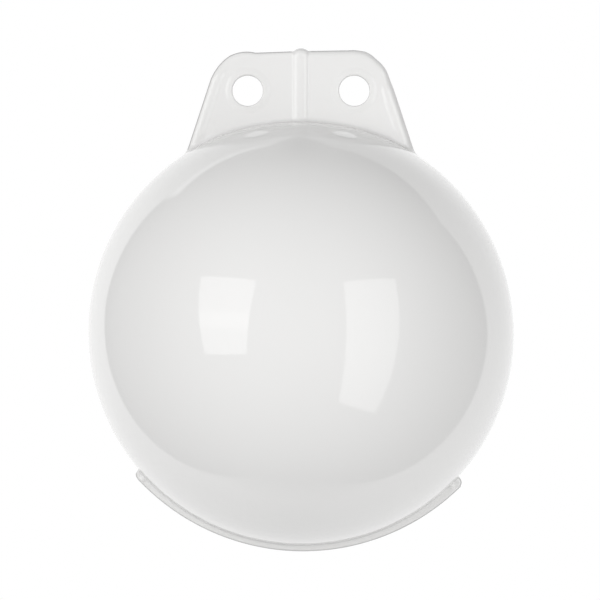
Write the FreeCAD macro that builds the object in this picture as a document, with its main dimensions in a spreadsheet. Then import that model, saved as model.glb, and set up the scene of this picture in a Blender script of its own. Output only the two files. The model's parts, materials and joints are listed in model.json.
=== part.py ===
import FreeCAD, Part

import math
import os

import Sketcher

# Fender buoy: a hollow plastic ball, blown in a two-part mould. Where the mould's halves meet they also
# squeeze two flat webs out of the same wall: a lug with two rope eyes on top and a low fin underneath.
# Lengths are in millimetres and angles in degrees. The part's origin lies midway between the two eyes,
# +X runs from the left eye to the right one, +Y looks through them and +Z points up, away from the ball.
# The features are drawn round the ball's centre, and the whole body is then moved down into that place.

SIZES = {
    # The ball
    "ball_diameter": 200.0,
    "ball_wall": 3.0,
    # Both webs
    "web_thickness": 4.0,
    # The lug's eyes, counted from the ball's crown
    "eye_spacing": 50.0,
    "eye_rise": 13.4,
    "eye_diameter": 14.3,
    "eye_rim_round": 0.5,
    "collar_width": 2.45,
    "collar_height": 0.4,
    "collar_round": 0.3,
    # The lug's outline: sides at a distance from the eyes, left corner moulded, right corner trimmed
    "lug_rise": 32.55,
    "lug_side_lean": 18.2,
    "lug_side_distance": 18.1,
    "lug_edge_round": 1.6,
    "left_corner_round": 16.5,
    "left_step": 0.75,
    "right_top_slope": 1.0,
    "trim_along_top": 6.8,
    "trim_down_side": 9.5,
    "trim_round": 11.0,
    # The thick folds along the lug's two sides, by how far they stand proud of the web
    "fold_foot_height": 1.3,
    "fold_end_height": 0.1,
    "fold_overhang": 0.3,
    # The blow channel up the middle of the lug, and its sealed tip
    "channel_width": 7.5,
    "channel_height": 1.15,
    "tip_spread": 0.95,
    "tip_swell": 0.35,
    "tip_height": 6.0,
    "tip_rise": 1.2,
    # The hollow blend of folds, channel and ball into the lug's faces
    "lug_blend_round": 1.5,
    # The fin, by how far it stands off the ball at its middle and at its ends
    "fin_height": 2.8,
    "fin_end_height": 3.9,
    "fin_left_span": 50.8,
    "fin_right_span": 49.3,
    "fin_left_round": 4.5,
    "fin_right_round": 2.0,
    "fin_edge_round": 1.1,
    "fin_root_round": 0.8,
    # The small domes in the fin's two ends
    "nub_height": 0.7,
    "nub_inset": 3.6,
    "nub_rise": 0.95,
}

# Expressions over the sheet's cells that several features share
BALL = "Sizes.ball_diameter / 2"
MID_WALL = "(Sizes.ball_diameter - Sizes.ball_wall) / 2"
CAVITY = "Sizes.ball_diameter / 2 - Sizes.ball_wall"
EYE = "Sizes.ball_diameter / 2 + Sizes.eye_rise"
TOP = "Sizes.ball_diameter / 2 + Sizes.lug_rise"
LEAN = "Sizes.lug_side_lean * 1 deg"
HALF_WEB = "Sizes.web_thickness / 2"

# The same places as numbers, for drawing each sketch where its dimensions will hold it
ball_radius = SIZES["ball_diameter"] / 2
mid_wall = ball_radius - SIZES["ball_wall"] / 2
half_web = SIZES["web_thickness"] / 2
eye_x = SIZES["eye_spacing"] / 2
eye_z = ball_radius + SIZES["eye_rise"]
top = ball_radius + SIZES["lug_rise"]
lean = math.radians(SIZES["lug_side_lean"])
TOUCH = 1e-4

doc = FreeCAD.newDocument("fender_buoy")


def fill_sheet():
    """The sheet of driving dimensions: a name and a plain number in each row."""
    sheet = doc.addObject("Spreadsheet::Sheet", "Sizes")
    for row, (name, value) in enumerate(SIZES.items(), start=1):
        sheet.set(f"A{row}", name)
        sheet.set(f"B{row}", str(value))
        sheet.setAlias(f"B{row}", name)
    doc.recompute()


fill_sheet()
body = doc.addObject("PartDesign::Body", "buoy_body")
body.Label = "buoy_body"
planes = {feature.Role: feature for feature in body.Origin.OriginFeatures}


# Drawing aids

def point(x, z):
    return FreeCAD.Vector(x, z, 0)


def sketch_on(plane, name):
    sketch = body.newObject("Sketcher::SketchObject", name)
    sketch.AttachmentSupport = [(planes[plane], "")]
    sketch.MapMode = "FlatFace"
    return sketch


def line(sketch, start, end):
    return sketch.addGeometry(Part.LineSegment(start, end), False)


def arc(sketch, centre, radius, start, end):
    """An arc that runs anticlockwise from one direction to another, in degrees."""
    circle = Part.Circle(centre, FreeCAD.Vector(0, 0, 1), radius)
    return sketch.addGeometry(Part.ArcOfCircle(circle, math.radians(start), math.radians(end)), False)


def mark(sketch, where):
    """A construction point, which dimensions are taken from."""
    return sketch.addGeometry(Part.Point(where), True)


def rule(sketch, *items):
    """A constraint with no size."""
    sketch.addConstraint(Sketcher.Constraint(*items))


def measure(sketch, text, *items):
    """A dimension that follows an expression over the sheet."""
    value = sketch.evalExpression(text)
    if items[0] == "Angle":
        value = math.radians(value.Value)
    index = sketch.addConstraint(Sketcher.Constraint(*items, float(value)))
    sketch.setExpression(f"Constraints[{index}]", text)


def mark_eye(sketch, side):
    """The centre of the left (-1) or the right (1) eye as a construction point."""
    eye = mark(sketch, point(side * eye_x, eye_z))
    measure(sketch, f"{side} * Sizes.eye_spacing / 2", "DistanceX", -1, 1, eye, 1)
    measure(sketch, EYE, "DistanceY", -1, 1, eye, 1)
    return eye


def left_side_x(z, distance):
    """Where the lug's left side is at a height, when it passes the eye's centre at a distance."""
    return -eye_x - distance / math.cos(lean) + (z - eye_z) * math.tan(lean)


def left_side_foot(distance):
    """Where that side crosses the circle half way through the ball's wall."""
    z = mid_wall
    for _ in range(60):
        z = math.sqrt(mid_wall ** 2 - left_side_x(z, distance) ** 2)
    return point(left_side_x(z, distance), z)


# Modelling aids

def settle():
    """Rebuilds the model, and stops where a feature failed."""
    doc.recompute()
    for item in doc.Objects:
        if "Invalid" in item.State or "Error" in item.State:
            raise RuntimeError(f"{item.Name} failed: {item.State}")


def pad(sketch, name, length):
    """A pad that is as thick as an expression says, half to each side of its sketch."""
    feature = body.newObject("PartDesign::Pad", name)
    feature.Profile = sketch
    feature.SideType = "Symmetric"
    feature.setExpression("Length", length)
    settle()


def turn(sketch, name, kind, axis):
    """A full turn of a profile, added or cut away."""
    feature = body.newObject(f"PartDesign::{kind}", name)
    feature.Profile = sketch
    feature.ReferenceAxis = (sketch, [axis])
    feature.Angle = 360
    return feature


def settle_cut(name, before):
    """Rebuilds the model after a cut, and stops where the cut took nothing away."""
    settle()
    if body.Shape.Volume > before - 1:
        raise RuntimeError(f"{name} cut nothing")


def round_edges(name, radius, wanted):
    """A fillet on each edge for which the test holds. The test gets the edge and its neighbours' kinds."""
    base = body.Tip
    names = []
    for number, edge in enumerate(base.Shape.Edges, start=1):
        faces = base.Shape.ancestorsOfType(edge, Part.Face)
        kinds = sorted(type(face.Surface).__name__ for face in faces)
        if wanted(edge, kinds):
            names.append(f"Edge{number}")
    feature = body.newObject("PartDesign::Fillet", name)
    feature.Base = (base, names)
    feature.setExpression("Radius", radius)
    settle()


def samples(edge):
    """Points along an edge, clear of its ends."""
    span = edge.LastParameter - edge.FirstParameter
    return [edge.valueAt(edge.FirstParameter + share * span) for share in (0.1, 0.5, 0.9)]


def on_web_face(edge):
    """Whether an edge lies in one of the webs' two faces, and clear of the ball."""
    places = samples(edge)
    flat = all(abs(abs(place.y) - half_web) < TOUCH for place in places)
    return flat and places[1].Length > ball_radius + TOUCH


def on_ball(edge):
    """Whether an edge lies on the ball's outside, as the foot of what is joined to it."""
    return all(abs(place.Length - ball_radius) < TOUCH for place in samples(edge))


# The ball, solid at first: its cavity is cut last, through the roots of all that is joined to it

def draw_half_disc(name, radius_text, radius):
    """Half a disc on the ball's upright axis."""
    sketch = sketch_on("XZ_Plane", name)
    outside = arc(sketch, point(0, 0), radius, -90, 90)
    axis = line(sketch, point(0, radius), point(0, -radius))
    rule(sketch, "Coincident", outside, 3, -1, 1)
    rule(sketch, "Coincident", outside, 2, axis, 1)
    rule(sketch, "Coincident", outside, 1, axis, 2)
    rule(sketch, "PointOnObject", axis, 1, -2)
    rule(sketch, "PointOnObject", axis, 2, -2)
    measure(sketch, radius_text, "Radius", outside)
    return sketch


# The lug's web. Its left corner is one round, which ends in a small step down to the top edge. Its right
# corner was trimmed straight and then eased at both ends of the cut.

def draw_lug():
    sketch = sketch_on("XZ_Plane", "lug_outline")
    distance = SIZES["lug_side_distance"] - SIZES["fold_overhang"]
    distance_text = "Sizes.lug_side_distance - Sizes.fold_overhang"
    foot = left_side_foot(distance)

    corner = SIZES["left_corner_round"]
    centre = point(left_side_x(top - corner, distance) + corner / math.cos(lean), top - corner)
    step_rise = corner - SIZES["left_step"]
    step_angle = math.degrees(math.asin(step_rise / corner))
    step = centre + point(math.sqrt(corner ** 2 - step_rise ** 2), step_rise)
    side_end = centre + point(-math.cos(lean), math.sin(lean)) * corner

    slope = math.radians(SIZES["right_top_slope"])
    ease = SIZES["trim_round"]
    side_x = -left_side_x(0, distance)
    peak_x = (side_x - top * math.tan(lean)) / (1 + math.tan(slope) * math.tan(lean))
    peak = point(peak_x, top + peak_x * math.tan(slope))
    along_top = point(math.cos(slope), math.sin(slope))
    along_side = point(math.sin(lean), -math.cos(lean))
    trim_start = peak - along_top * SIZES["trim_along_top"]
    trim_end = peak + along_side * SIZES["trim_down_side"]
    trim = math.atan2(trim_start.y - trim_end.y, trim_end.x - trim_start.x)
    along_trim = point(math.cos(trim), -math.sin(trim))
    start_reach = ease * math.tan((slope + trim) / 2)
    end_reach = ease * math.tan((math.pi / 2 - lean - trim) / 2)
    ease_top_end = trim_start - along_top * start_reach
    ease_trim_end = trim_end - along_trim * end_reach
    top_centre = ease_top_end + point(math.sin(slope), -math.cos(slope)) * ease
    side_centre = ease_trim_end - point(math.sin(trim), math.cos(trim)) * ease
    trim_turn = 90 - math.degrees(trim)

    side_left = line(sketch, foot, side_end)
    corner_left = arc(sketch, centre, corner, step_angle, 180 - SIZES["lug_side_lean"])
    top_left = line(sketch, step, point(0, top))
    top_right = line(sketch, point(0, top), ease_top_end)
    ease_top = arc(sketch, top_centre, ease, trim_turn, 90 + SIZES["right_top_slope"])
    trimmed = line(sketch, trim_start + along_trim * start_reach, ease_trim_end)
    ease_side = arc(sketch, side_centre, ease, SIZES["lug_side_lean"], trim_turn)
    side_right = line(sketch, trim_end + along_side * end_reach, point(-foot.x, foot.y))
    foot_angle = math.degrees(math.atan2(foot.y, -foot.x))
    root = arc(sketch, point(0, 0), mid_wall, foot_angle, 180 - foot_angle)
    eye_left = mark_eye(sketch, -1)
    eye_right = mark_eye(sketch, 1)
    peak_mark = mark(sketch, peak)
    start_mark = mark(sketch, trim_start)
    end_mark = mark(sketch, trim_end)

    rule(sketch, "Tangent", side_left, 2, corner_left, 2)
    rule(sketch, "Coincident", corner_left, 1, top_left, 1)
    rule(sketch, "Coincident", top_left, 2, top_right, 1)
    rule(sketch, "Tangent", top_right, 2, ease_top, 2)
    rule(sketch, "Tangent", ease_top, 1, trimmed, 1)
    rule(sketch, "Tangent", trimmed, 2, ease_side, 2)
    rule(sketch, "Tangent", ease_side, 1, side_right, 1)
    rule(sketch, "Coincident", side_right, 2, root, 1)
    rule(sketch, "Coincident", root, 2, side_left, 1)
    rule(sketch, "Coincident", root, 3, -1, 1)
    rule(sketch, "PointOnObject", top_left, 2, -2)
    rule(sketch, "PointOnObject", peak_mark, 1, top_right)
    rule(sketch, "PointOnObject", peak_mark, 1, side_right)
    rule(sketch, "PointOnObject", start_mark, 1, top_right)
    rule(sketch, "PointOnObject", start_mark, 1, trimmed)
    rule(sketch, "PointOnObject", end_mark, 1, trimmed)
    rule(sketch, "PointOnObject", end_mark, 1, side_right)
    measure(sketch, MID_WALL, "Radius", root)
    measure(sketch, f"90 deg - {LEAN}", "Angle", side_left)
    measure(sketch, f"{LEAN} - 90 deg", "Angle", side_right)
    measure(sketch, distance_text, "Distance", eye_left, 1, side_left)
    measure(sketch, distance_text, "Distance", eye_right, 1, side_right)
    measure(sketch, "Sizes.left_corner_round", "Radius", corner_left)
    measure(sketch, f"{TOP} - Sizes.left_corner_round", "DistanceY", -1, 1, corner_left, 3)
    measure(sketch, f"{TOP} - Sizes.left_step", "DistanceY", -1, 1, corner_left, 1)
    measure(sketch, TOP, "DistanceY", -1, 1, top_left, 2)
    measure(sketch, "Sizes.right_top_slope * 1 deg", "Angle", top_right)
    measure(sketch, "Sizes.trim_along_top", "Distance", peak_mark, 1, start_mark, 1)
    measure(sketch, "Sizes.trim_down_side", "Distance", peak_mark, 1, end_mark, 1)
    measure(sketch, "Sizes.trim_round", "Radius", ease_top)
    measure(sketch, "Sizes.trim_round", "Radius", ease_side)
    return sketch


# Rings round the eyes: the raised collars and the holes through them

def draw_rings(name, radius_text, radius):
    sketch = sketch_on("XZ_Plane", name)
    for side in (-1, 1):
        circle = Part.Circle(point(side * eye_x, eye_z), FreeCAD.Vector(0, 0, 1), radius)
        ring = sketch.addGeometry(circle, False)
        eye = mark_eye(sketch, side)
        rule(sketch, "Coincident", ring, 3, eye, 1)
        measure(sketch, radius_text, "Radius", ring)
    return sketch


# The fold along the lug's left side: a cone whose outer line is the lug's silhouette. It starts inside
# the ball, thins towards the top and ends in a ball tip where the corner's round begins.

def draw_fold():
    sketch = sketch_on("XZ_Plane", "fold_profile")
    distance = SIZES["lug_side_distance"]
    foot_radius = half_web + SIZES["fold_foot_height"]
    end_radius = half_web + SIZES["fold_end_height"]
    foot = left_side_foot(distance)
    end_z = top - SIZES["left_corner_round"] * (1 - math.sin(lean))
    end = point(left_side_x(end_z, distance), end_z)
    length = foot.distanceToPoint(end)
    slant = lean + 2 * math.atan((foot_radius - end_radius) / length / 2)
    along = point(math.sin(slant), math.cos(slant))
    centre = end + point(math.cos(lean), -math.sin(lean)) * end_radius
    inner_foot = foot + point(math.cos(slant), -math.sin(slant)) * foot_radius

    outside = line(sketch, foot, end)
    cap = arc(sketch, centre, end_radius, 90 - math.degrees(slant), 180 - SIZES["lug_side_lean"])
    axis = line(sketch, centre + along * end_radius, inner_foot)
    sole = line(sketch, inner_foot, foot)
    eye = mark_eye(sketch, -1)
    rule(sketch, "Tangent", outside, 2, cap, 2)
    rule(sketch, "Coincident", cap, 1, axis, 1)
    rule(sketch, "Coincident", axis, 2, sole, 1)
    rule(sketch, "Coincident", sole, 2, outside, 1)
    rule(sketch, "Perpendicular", axis, sole)
    rule(sketch, "PointOnObject", cap, 3, axis)
    measure(sketch, "Sizes.lug_side_distance", "Distance", eye, 1, outside)
    measure(sketch, f"90 deg - {LEAN}", "Angle", outside)
    measure(sketch, MID_WALL, "Distance", outside, 1, -1, 1)
    measure(sketch, f"{TOP} - Sizes.left_corner_round * (1 - sin({LEAN}))", "DistanceY", -1, 1, outside, 2)
    measure(sketch, f"{HALF_WEB} + Sizes.fold_end_height", "Radius", cap)
    measure(sketch, f"{HALF_WEB} + Sizes.fold_foot_height", "Distance", sole, 1, sole, 2)
    return sketch, f"Edge{axis + 1}"


# The blow channel's section: two flat arcs back to back, proud of the web on both faces

def draw_channel():
    sketch = sketch_on("XY_Plane", "channel_section")
    sketch.setExpression("AttachmentOffset.Base.z", MID_WALL)
    half = SIZES["channel_width"] / 2
    height = SIZES["channel_height"]
    radius = (half ** 2 + height ** 2) / (2 * height)
    radius_text = "((Sizes.channel_width / 2)^2 + Sizes.channel_height^2) / (2 * Sizes.channel_height)"
    sink = radius - height - half_web
    lip = math.degrees(math.asin(sink / radius))
    front = arc(sketch, point(0, sink), radius, 180 + lip, 360 - lip)
    back = arc(sketch, point(0, -sink), radius, lip, 180 - lip)
    rule(sketch, "Coincident", front, 1, back, 2)
    rule(sketch, "Coincident", front, 2, back, 1)
    rule(sketch, "PointOnObject", front, 3, -2)
    rule(sketch, "PointOnObject", back, 3, -2)
    rule(sketch, "PointOnObject", front, 1, -1)
    rule(sketch, "Equal", front, back)
    measure(sketch, radius_text, "Radius", front)
    measure(sketch, f"{radius_text} - Sizes.channel_height - {HALF_WEB}", "DistanceY", -1, 1, front, 3)
    return sketch


# The fin's web: a long arc below the ball, a little lower at its ends, which are cut off upright

def draw_fin():
    sketch = sketch_on("XZ_Plane", "fin_outline")
    low = ball_radius + SIZES["fin_height"]
    far = ball_radius + SIZES["fin_end_height"]
    span = math.radians(SIZES["fin_left_span"])
    centre_z = (far ** 2 - low ** 2) / (2 * (low - far * math.cos(span)))
    edge = low + centre_z

    def end(span_name, round_name):
        """An end's reach, its corner's centre, that corner's turn and the height of its root."""
        reach = ball_radius * math.sin(math.radians(SIZES[span_name]))
        corner = SIZES[round_name]
        corner_x = reach - corner
        drop = math.sqrt((edge - corner) ** 2 - corner_x ** 2)
        slant = math.degrees(math.atan2(drop, corner_x))
        return reach, corner, corner_x, centre_z - drop, slant, -math.sqrt(mid_wall ** 2 - reach ** 2)

    left_reach, left_round, left_x, left_z, left_slant, left_root = end("fin_left_span", "fin_left_round")
    right_reach, right_round, right_x, right_z, right_slant, right_root = end(
        "fin_right_span", "fin_right_round")

    outer = arc(sketch, point(0, centre_z), edge, 180 + left_slant, 360 - right_slant)
    corner_right = arc(sketch, point(right_x, right_z), right_round, -right_slant, 0)
    end_right = line(sketch, point(right_reach, right_z), point(right_reach, right_root))
    root_left = math.degrees(math.atan2(left_root, -left_reach))
    root_right = math.degrees(math.atan2(right_root, right_reach))
    root = arc(sketch, point(0, 0), mid_wall, root_left, root_right)
    end_left = line(sketch, point(-left_reach, left_root), point(-left_reach, left_z))
    corner_left = arc(sketch, point(-left_x, left_z), left_round, 180, 180 + left_slant)
    low_mark = mark(sketch, point(0, -low))
    far_mark = mark(sketch, point(-far * math.sin(span), -far * math.cos(span)))

    rule(sketch, "Tangent", outer, 2, corner_right, 1)
    rule(sketch, "Tangent", corner_right, 2, end_right, 1)
    rule(sketch, "Coincident", end_right, 2, root, 2)
    rule(sketch, "Coincident", root, 1, end_left, 1)
    rule(sketch, "Tangent", end_left, 2, corner_left, 1)
    rule(sketch, "Tangent", corner_left, 2, outer, 1)
    rule(sketch, "Coincident", root, 3, -1, 1)
    rule(sketch, "PointOnObject", outer, 3, -2)
    rule(sketch, "Vertical", end_left)
    rule(sketch, "Vertical", end_right)
    rule(sketch, "PointOnObject", low_mark, 1, -2)
    rule(sketch, "PointOnObject", low_mark, 1, outer)
    rule(sketch, "PointOnObject", far_mark, 1, outer)
    far_text = f"({BALL} + Sizes.fin_end_height)"
    measure(sketch, MID_WALL, "Radius", root)
    measure(sketch, f"{BALL} + Sizes.fin_height", "DistanceY", low_mark, 1, -1, 1)
    measure(sketch, f"{far_text} * sin(Sizes.fin_left_span * 1 deg)", "DistanceX", far_mark, 1, -1, 1)
    measure(sketch, f"{far_text} * cos(Sizes.fin_left_span * 1 deg)", "DistanceY", far_mark, 1, -1, 1)
    measure(sketch, f"{BALL} * sin(Sizes.fin_left_span * 1 deg)", "DistanceX", end_left, 1, -1, 1)
    measure(sketch, f"{BALL} * sin(Sizes.fin_right_span * 1 deg)", "DistanceX", -1, 1, end_right, 1)
    measure(sketch, "Sizes.fin_left_round", "Radius", corner_left)
    measure(sketch, "Sizes.fin_right_round", "Radius", corner_right)
    return sketch


def add_nub(name, side, span_name):
    """The small dome in one end of the fin, where the mould's seam runs out."""
    across = f"({BALL} * sin(Sizes.{span_name} * 1 deg) - Sizes.nub_inset)"
    nub = body.newObject("PartDesign::AdditiveSphere", name)
    nub.setExpression("Radius", f"{HALF_WEB} + Sizes.nub_height")
    nub.setExpression("Placement.Base.x", f"{side} * {across}")
    nub.setExpression("Placement.Base.z", f"-sqrt(({BALL} + Sizes.nub_rise)^2 - {across}^2)")
    settle()


# The ball and the lug's web, with its collars and its rounded rim

turn(draw_half_disc("ball_profile", BALL, ball_radius), "ball", "Revolution", "V_Axis")
settle()
pad(draw_lug(), "lug", "Sizes.web_thickness")
round_edges("lug_rim", f"min(Sizes.lug_edge_round; 0.9 * {HALF_WEB})",
            lambda edge, kinds: on_web_face(edge))
collar_radius = SIZES["eye_diameter"] / 2 + SIZES["collar_width"]
collar_rings = draw_rings("collar_rings", "Sizes.eye_diameter / 2 + Sizes.collar_width", collar_radius)
pad(collar_rings, "collars", "Sizes.web_thickness + 2 * Sizes.collar_height")
collar_face = half_web + SIZES["collar_height"]
round_edges("collar_rims", "min(Sizes.collar_round; 0.9 * Sizes.collar_height)",
            lambda edge, kinds: all(abs(abs(place.y) - collar_face) < TOUCH for place in samples(edge)))

# The folds and the blow channel, blended into the web's faces

fold_profile, fold_axis = draw_fold()
fold_left = turn(fold_profile, "fold_left", "Revolution", fold_axis)
settle()
fold_right = body.newObject("PartDesign::Mirrored", "fold_right")
fold_right.Originals = [fold_left]
fold_right.MirrorPlane = (planes["YZ_Plane"], [""])
body.Tip = fold_right
settle()
channel = body.newObject("PartDesign::Pad", "channel")
channel.Profile = draw_channel()
channel.setExpression("Length", f"{TOP} + Sizes.tip_rise - Sizes.tip_height / 2 - {MID_WALL}")
settle()


def in_lug_blend(edge, kinds):
    """Whether an edge is the foot of the lug on the ball, or a fold's or the channel's crease."""
    if edge.BoundBox.ZMin < 0 or len(kinds) != 2:
        return False
    along_channel = edge.BoundBox.XLength < TOUCH and edge.BoundBox.XMax < SIZES["channel_width"]
    crease = kinds == ["Cone", "Plane"] or (kinds == ["Cylinder", "Plane"] and along_channel)
    return on_ball(edge) or (crease and on_web_face(edge))


round_edges("lug_blend", "Sizes.lug_blend_round", in_lug_blend)

# The channel's sealed tip, which stands a little above the top edge

tip = body.newObject("PartDesign::AdditiveEllipsoid", "channel_tip")
tip.setExpression("Radius1", "Sizes.tip_height / 2")
tip.setExpression("Radius2", "Sizes.channel_width / 2 + Sizes.tip_spread")
tip.setExpression("Radius3", f"{HALF_WEB} + Sizes.channel_height + Sizes.tip_swell")
tip.setExpression("Placement.Base.z", f"{TOP} + Sizes.tip_rise - Sizes.tip_height / 2")
settle()

# The fin, with its rim and its foot rounded, and the domes in its ends

pad(draw_fin(), "fin", "Sizes.web_thickness")
round_edges("fin_rim", f"min(Sizes.fin_edge_round; 0.9 * {HALF_WEB}; 0.4 * Sizes.fin_height)",
            lambda edge, kinds: edge.BoundBox.ZMax < 0 and on_web_face(edge))
round_edges("fin_root", "min(Sizes.fin_root_round; 0.3 * Sizes.fin_height)",
            lambda edge, kinds: edge.BoundBox.ZMax < 0 and on_ball(edge) and len(kinds) == 2)
add_nub("nub_left", -1, "fin_left_span")
add_nub("nub_right", 1, "fin_right_span")

# The eyes, punched through the collars and eased at both rims

volume = body.Shape.Volume
eyes = body.newObject("PartDesign::Pocket", "eyes")
eyes.Profile = draw_rings("eye_rings", "Sizes.eye_diameter / 2", SIZES["eye_diameter"] / 2)
eyes.SideType = "Symmetric"
eyes.setExpression("Length", "2 * (Sizes.web_thickness + 2 * Sizes.collar_height)")
settle_cut("eyes", volume)


def on_eye_rim(edge):
    """Whether an edge is the rim of an eye, on either face of its collar."""
    radius = SIZES["eye_diameter"] / 2
    centre_x = math.copysign(eye_x, edge.BoundBox.Center.x)
    places = samples(edge)
    flat = all(abs(abs(place.y) - collar_face) < TOUCH for place in places)
    return flat and all(abs(math.hypot(place.x - centre_x, place.z - eye_z) - radius) < TOUCH
                        for place in places)


round_edges("eye_rims", "min(Sizes.eye_rim_round; Sizes.collar_width / 2)",
            lambda edge, kinds: on_eye_rim(edge))

# The ball's cavity, which leaves an even wall and trims every root flush inside

volume = body.Shape.Volume
cavity_profile = draw_half_disc("cavity_profile", CAVITY, ball_radius - SIZES["ball_wall"])
turn(cavity_profile, "cavity", "Groove", "V_Axis")
settle_cut("cavity", volume)

# The part's origin, midway between the eyes

body.setExpression("Placement.Base.z", f"-({EYE})")
settle()

shape = body.Shape
if shape.isNull() or not shape.isValid() or len(shape.Solids) != 1:
    raise RuntimeError("buoy_body is not one valid solid")
os.makedirs("parts", exist_ok=True)
shape.exportStep(f"parts/{body.Label}.step")
print(f"{body.Label}: {shape.Volume / 1000:.1f} cm3, {len(shape.Faces)} faces")
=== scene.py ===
"""Fender buoy: a glossy white plastic ball, blown in a mould of two halves, with a lug for ropes on top.

The visible buoy is one mesh. A closed box of quads is laid round the form, each of its corners gets a ray
that starts inside the plastic, and a repeat zone walks every corner along its ray to the skin of the
form. The eyes are then punched and lined with their collars. The tree works in millimetres round the
centre of the ball, and its last step puts the buoy into the frame, in metres.
"""

import json
import math

import bpy
from mathutils import Matrix, Vector


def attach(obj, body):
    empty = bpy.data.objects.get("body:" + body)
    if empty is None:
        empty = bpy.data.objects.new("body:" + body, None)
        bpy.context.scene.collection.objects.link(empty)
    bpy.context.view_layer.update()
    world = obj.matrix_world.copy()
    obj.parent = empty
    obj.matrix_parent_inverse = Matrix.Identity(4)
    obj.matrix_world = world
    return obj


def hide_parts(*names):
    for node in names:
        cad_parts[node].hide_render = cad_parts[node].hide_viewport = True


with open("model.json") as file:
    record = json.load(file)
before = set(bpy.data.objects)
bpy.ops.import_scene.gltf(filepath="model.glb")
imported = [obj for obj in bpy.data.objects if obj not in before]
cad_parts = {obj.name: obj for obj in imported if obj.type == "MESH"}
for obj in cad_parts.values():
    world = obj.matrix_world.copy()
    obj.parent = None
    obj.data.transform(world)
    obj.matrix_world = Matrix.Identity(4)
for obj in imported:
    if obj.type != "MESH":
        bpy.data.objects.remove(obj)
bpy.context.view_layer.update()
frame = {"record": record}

MM = 0.001

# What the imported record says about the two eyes
eye_pattern = next(mount["dims"] for mount in frame["record"]["mounts"] if mount["name"] == "lug_eyes")

# The buoy's sizes, in millimetres: the inputs of its tree
SIZES = {
    "Ball radius": 100.0,
    "Web thickness": 4.0,
    "Foot round": 1.5,
    "Left fold proud": 0.52,
    "Right fold proud": 0.65,
    "Channel width": 7.4,
    "Channel proud": 1.08,
    "Channel crease round": 0.36,
    "Eye diameter": 2 * eye_pattern["hole_r_mm"],
    "Collar proud": 0.42,
    "Collar reach": 2.75,
    "Eye rim round": 0.8,
    "Fin rim round": 1.1,
    "Fin foot round": 0.8,
}

# Down to the camera, the sizes below are in millimetres too, and places are measured from the ball's centre

BALL_RADIUS = SIZES["Ball radius"]
EYE_X = eye_pattern["spacing_x_mm"] / 2
EYE_RISE = 13.4
EYE_Z = BALL_RADIUS + EYE_RISE

# The lug's outline, with angles in degrees: two sides that lean in, and a top edge in two slopes
LUG_RISE = 32.15
LUG_TOP = BALL_RADIUS + LUG_RISE
LUG_ROOT_Z = 60.0
LUG_LEAN = 18.2
SIDE_PAST_EYE = 18.25
lean = math.radians(LUG_LEAN)
LUG_SIDE_X = EYE_X + SIDE_PAST_EYE / math.cos(lean)

# Its left corner: one moulded round with a short flat on it, which ends in a small step at the top edge
LEFT_CORNER_ROUND = 17.6
LEFT_CORNER_DROP = 0.3
LEFT_STEP_DROP = 0.5
left_corner_z = LUG_TOP - LEFT_CORNER_DROP - LEFT_CORNER_ROUND
left_side_x = LUG_SIDE_X - (left_corner_z - EYE_Z) * math.tan(lean)
LEFT_CORNER = (LEFT_CORNER_ROUND / math.cos(lean) - left_side_x, left_corner_z)
step_rise = LEFT_CORNER_ROUND - LEFT_STEP_DROP
step_run = math.sqrt(LEFT_CORNER_ROUND ** 2 - step_rise ** 2)
LEFT_STEP = (LEFT_CORNER[0] + step_run, LEFT_CORNER[1] + step_rise)
LEFT_TOP_SLOPE = math.degrees(math.atan2(LUG_TOP - LEFT_STEP[1], -LEFT_STEP[0]))
side_end = (LEFT_CORNER[0] - LEFT_CORNER_ROUND * math.cos(lean),
            LEFT_CORNER[1] + LEFT_CORNER_ROUND * math.sin(lean))
CHORD_FACING = 90 + math.degrees(math.atan2(LEFT_STEP[1] - side_end[1], LEFT_STEP[0] - side_end[0]))

LEFT_FLAT_FACING = 142
LEFT_FLAT_OUT = 0.5
LEFT_FLAT_BLEND = 4.0
flat_turn = math.radians(LEFT_FLAT_FACING)
flat_reach = LEFT_CORNER_ROUND + LEFT_FLAT_OUT
LEFT_FLAT = (LEFT_CORNER[0] + flat_reach * math.cos(flat_turn),
             LEFT_CORNER[1] + flat_reach * math.sin(flat_turn))

# Its right corner: trimmed straight, from a place along the top edge to one down the side
RIGHT_TOP_SLOPE = 1.0
TRIM_ALONG_TOP = 6.8
TRIM_DOWN_SIDE = 9.5
TRIM_ROUND = 11.0
rise = math.tan(math.radians(RIGHT_TOP_SLOPE))
peak_x = (LUG_SIDE_X - (LUG_TOP - EYE_Z) * math.tan(lean)) / (1 + rise * math.tan(lean))
peak_z = LUG_TOP + peak_x * rise
TRIM_START = (peak_x - TRIM_ALONG_TOP, peak_z - TRIM_ALONG_TOP * rise)
trim_end = (peak_x + TRIM_DOWN_SIDE * math.sin(lean), peak_z - TRIM_DOWN_SIDE * math.cos(lean))
TRIM_FACING = 90 - math.degrees(math.atan2(TRIM_START[1] - trim_end[1], trim_end[0] - TRIM_START[0]))

# The lug's rim from left to right: its width and the radius of its arc on the left side, and then from
# where to where, across the lug, each stretch takes over: left top, right top, trim, right side
EDGE_INSET = 0.05
RIM_WIDTH = 3.1
RIM_ARC = 4.2
RIM_STRETCHES = (
    (-38.0, -30.0, 1.9, 2.0),
    (-5.0, 8.0, 3.3, 3.7),
    (24.0, 29.0, 3.8, 4.0),
    (37.0, 41.0, 4.4, 4.4),
)
RIM_EDGE_BLEND = 0.6

# The fold along each side: how wide its inner slope is, between which heights it fades out, and from where
# to where, out from the middle, it rises. Then how gently the collars rise
LEFT_FOLD_SLOPE = 2.8
LEFT_FOLD_FADE = (120.0, 127.0)
RIGHT_FOLD_SLOPE = 3.3
RIGHT_FOLD_FADE = (112.0, 120.0)
FOLDS_RISE_X = (20.0, 28.0)
COLLAR_EASE = 1.25

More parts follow.
